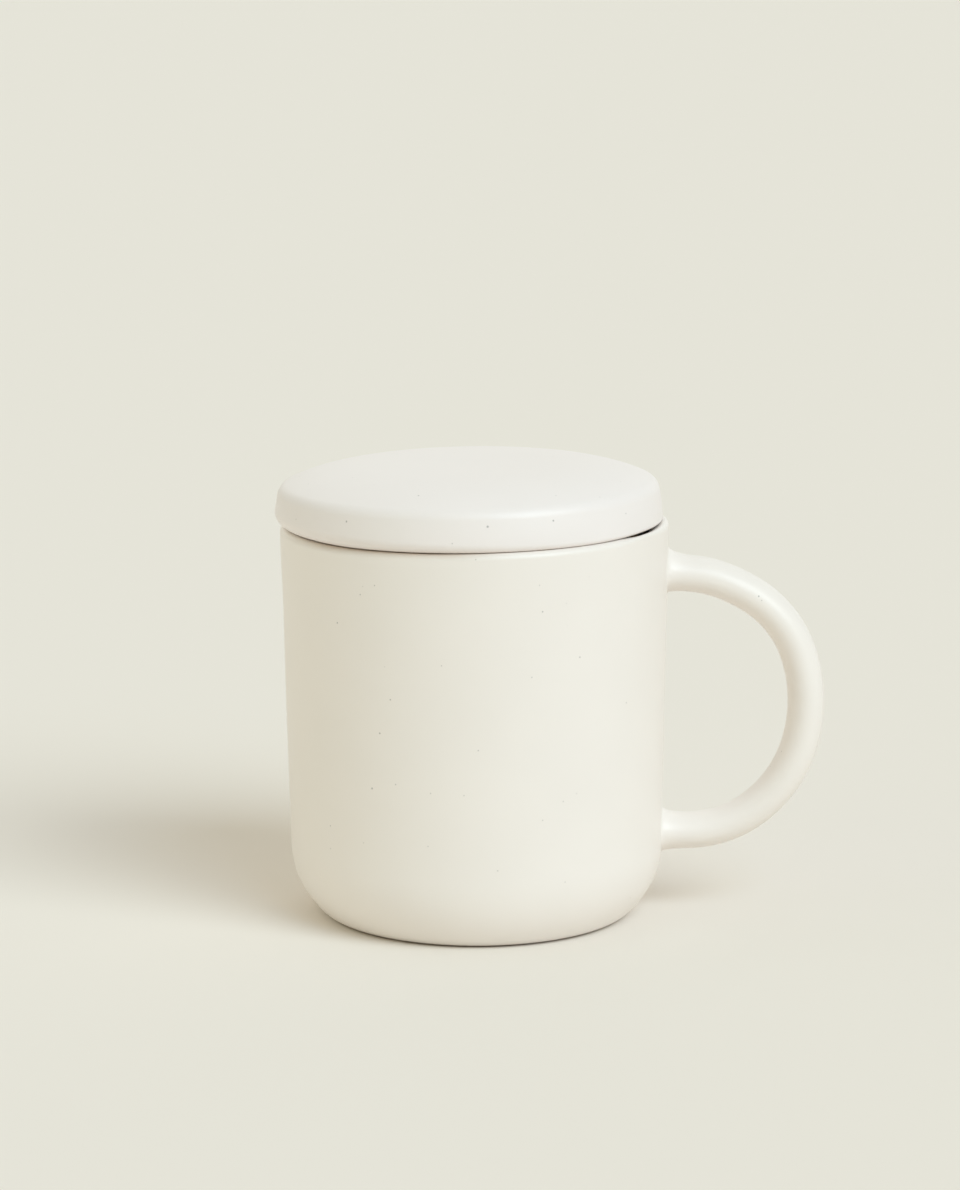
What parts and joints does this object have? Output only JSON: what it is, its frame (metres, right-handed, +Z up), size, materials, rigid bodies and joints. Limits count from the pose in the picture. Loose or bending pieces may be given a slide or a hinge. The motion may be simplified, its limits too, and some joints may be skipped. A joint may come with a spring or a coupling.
{
  "type": "lidded mug",
  "caption": "Straight-sided stoneware mug with a soft lower corner, a rod handle bent into a D and a loose pebble-shaped lid that lifts off; cream satin glaze with fine dark specks.",
  "frame": {"origin": "centre of the foot ring, on the surface that the mug stands on", "axes": "+Z up the cup's axis, +X towards the handle, -Y towards the viewer of the picture"},
  "size_m": [0.1207, 0.0848, 0.1005],
  "materials": {
    "cup_glaze": "satin cream glaze with fine dark specks, bare clay on the foot ring",
    "handle_glaze": "satin cream glaze with fine dark specks",
    "lid_glaze": "satin off-white glaze with fine dark specks"
  },
  "bodies": {
    "cup": {"cup_body": "cup_glaze", "handle": "handle_glaze"},
    "lid": {"lid": "lid_glaze"}
  },
  "joints": [
    {"name": "lid_lift", "type": "slide", "parent": "cup", "child": "lid", "axis": [0, 0, 1], "range_m": [0, 0.08]}
  ]
}
